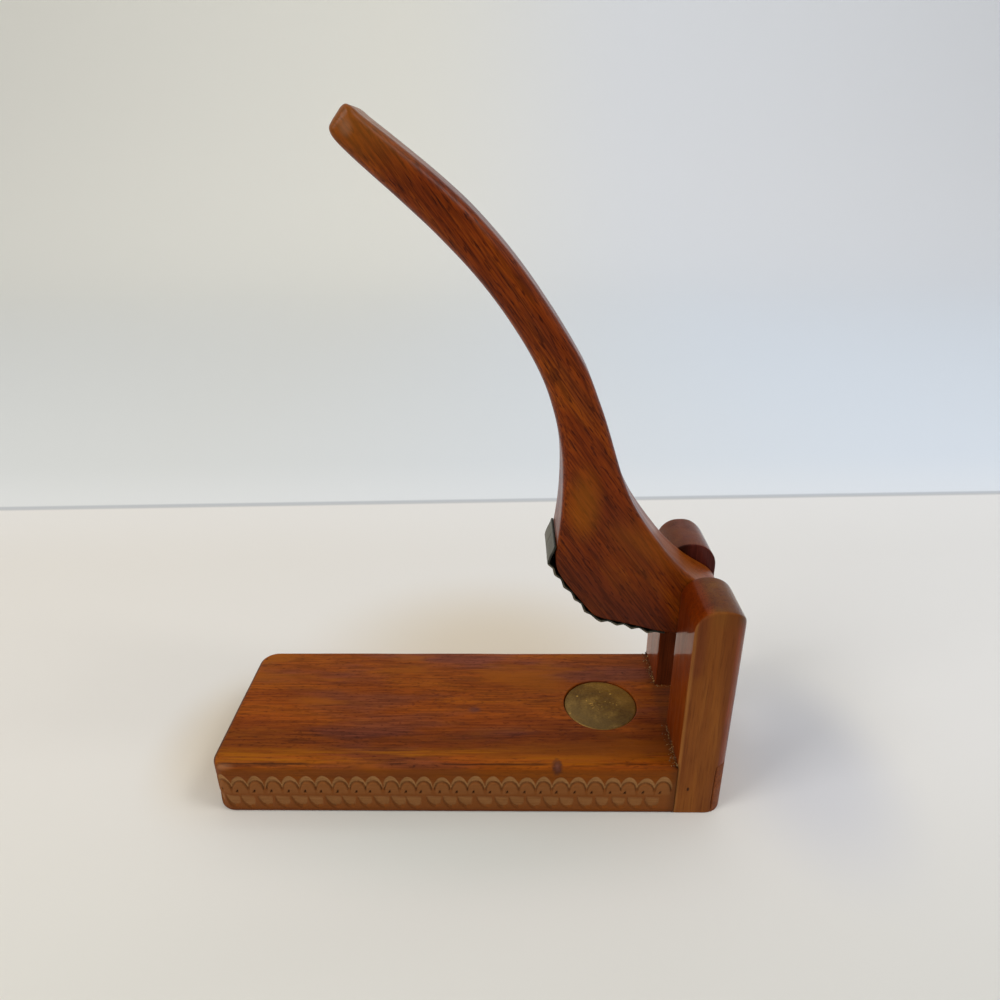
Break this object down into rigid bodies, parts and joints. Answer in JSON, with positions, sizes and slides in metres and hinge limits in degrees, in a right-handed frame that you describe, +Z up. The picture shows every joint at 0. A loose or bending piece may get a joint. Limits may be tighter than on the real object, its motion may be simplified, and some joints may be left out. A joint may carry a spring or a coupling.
{
  "type": "lever nutcracker press",
  "caption": "Table-top nutcracker: carved wooden base with a brass striker disc, upright posts, and a curved wooden lever that turns between them with a corrugated metal jaw strip.",
  "frame": {"origin": "middle of the base's underside, at the bottom centre of the part's box", "axes": "+Z up, +X along the base from its free end to the posts, +Y to the far side. The lever is stored raised, as in the picture."},
  "size_m": [0.2092, 0.0762, 0.26],
  "materials": {
    "base_wood": "red-brown stained hardwood, satin varnish, worn",
    "post_wood": "red-brown stained hardwood, upright grain, satin varnish",
    "lever_wood": "orange-brown stained hardwood, polished by handling",
    "old_brass": "dull aged brass with bright dents",
    "dark_metal": "blackened corrugated sheet steel",
    "steel": "plain drawn wire, slightly dulled"
  },
  "bodies": {
    "stand": {"base_board": "base_wood", "striker_disc": "old_brass", "front_post": "post_wood", "rear_post": "post_wood", "back_rail": "base_wood", "post_nails": "steel", "rail_nails": "steel", "pivot_pin": "steel"},
    "arm": {"lever": "lever_wood", "jaw_strip": "dark_metal", "strip_nails": "dark_metal"}
  },
  "joints": [
    {"name": "lever_turn", "type": "hinge", "parent": "stand", "child": "arm", "pos_m": [0.0944, 0, 0.08], "axis": [0, -1, 0], "range_deg": [-145, 68]}
  ]
}
